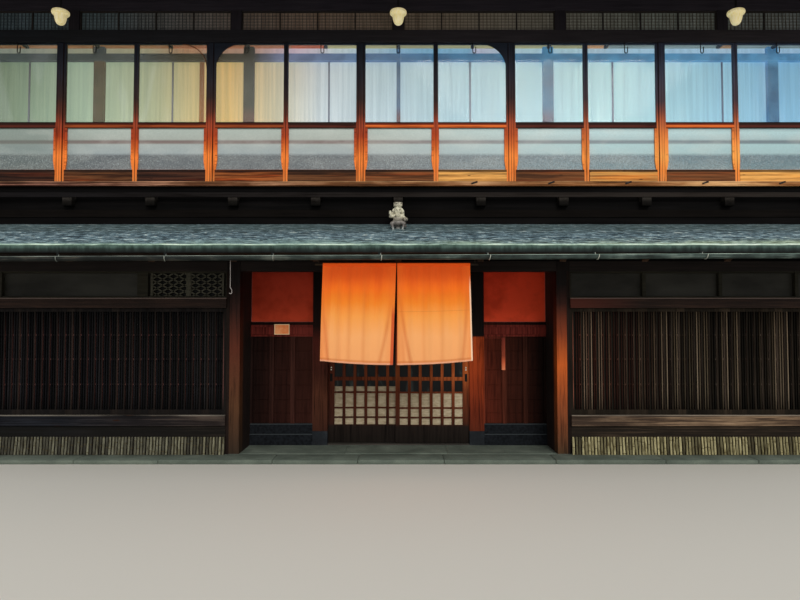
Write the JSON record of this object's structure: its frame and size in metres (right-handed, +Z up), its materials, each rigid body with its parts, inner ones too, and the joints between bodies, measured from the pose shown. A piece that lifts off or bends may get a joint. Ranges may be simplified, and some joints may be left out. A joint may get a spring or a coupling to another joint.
{
  "type": "machiya townhouse",
  "caption": "Two-storey timber townhouse with lattice bays, sliding lattice doors, a copper pent roof, a glazed upper gallery and a tiled gable roof.",
  "frame": {"origin": "on the ground at the middle of the plan", "axes": "+Z up, the street front faces -Y, +X to the right seen from the street"},
  "size_m": [12.08, 9.974, 7.9528],
  "materials": {
    "stone": "split granite, dull",
    "plaster": "clay plaster, matte",
    "dark_timber": "weathered, near black",
    "post_timber": "oiled, orange-brown low down",
    "sill_timber": "sun-bleached, open grain",
    "lattice_timber": "fine planed bars, aged",
    "window_timber": "stained orange-brown",
    "door_timber": "oiled, worn at the edges",
    "grey_timber": "weathered grey end grain",
    "red_panel": "iron-oxide red, satin",
    "bamboo": "split bamboo, satin",
    "paper": "mulberry paper, matte",
    "screen_paper": "white screen paper, matte",
    "window_glass": "old clear glass",
    "dark_glass": "dusty glass over a dark room",
    "copper_sheet": "blue-grey and pale green patina",
    "gutter_copper": "patinated, dull",
    "glazed_clay": "ash glaze, satin",
    "opal_glass": "opal, satin",
    "cotton": "dip-dyed from deep to pale orange",
    "rod_timber": "bamboo rod",
    "roof_tile": "smoke-fired, silver-grey",
    "frieze_timber": "olive-grey, dusty"
  },
  "bodies": {
    "house": {"foundation": "stone", "kerb_stones": "stone", "post_stones": "stone", "party_walls": "plaster", "corner_posts": "dark_timber", "ground_posts": "post_timber", "lintels": "dark_timber", "dado_walls": "dark_timber", "sill_boards": "sill_timber", "bamboo_skirts": "bamboo", "lattice_left": "lattice_timber", "lattice_right": "lattice_timber", "lattice_back": "lattice_timber", "lattice_rails": "lattice_timber", "lattice_glass": "dark_glass", "transoms": "dark_timber", "recess_walls": "dark_timber", "recess_ceiling": "dark_timber", "door_posts": "door_timber", "door_sill": "grey_timber", "door_transom": "dark_timber", "entrance_panels": "dark_timber", "red_panels": "red_panel", "noren_rod": "rod_timber", "noren_left": "cotton", "noren_right": "cotton", "pent_roofs": "copper_sheet", "pent_purlins": "dark_timber", "pent_arms": "dark_timber", "fascia_boards": "copper_sheet", "gutters": "gutter_copper", "roof_figure": "glazed_clay", "apron_walls": "dark_timber", "floor_joists": "grey_timber", "upper_floor": "dark_timber", "gallery_sills": "sill_timber", "window_posts": "window_timber", "window_sashes": "window_timber", "window_glass": "window_glass", "window_spandrels": "window_timber", "gallery_screens": "screen_paper", "gallery_frame": "post_timber", "gallery_ceiling": "window_timber", "head_beams": "dark_timber", "frieze_posts": "dark_timber", "frieze_panels": "frieze_timber", "wall_plates": "dark_timber", "eave_lamps": "opal_glass", "roof_rafters": "dark_timber", "ridge_beam": "dark_timber", "roof_front": "roof_tile", "roof_back": "roof_tile", "roof_ridge": "roof_tile"},
    "door_left": {"door_left": "door_timber", "door_pane_left": "paper"},
    "door_right": {"door_right": "door_timber", "door_pane_right": "paper"}
  },
  "joints": [
    {"name": "door_left_slide", "type": "slide", "parent": "house", "child": "door_left", "axis": [1, 0, 0], "range_m": [0, 0.862]},
    {"name": "door_right_slide", "type": "slide", "parent": "house", "child": "door_right", "axis": [1, 0, 0], "range_m": [-0.862, 0]}
  ]
}
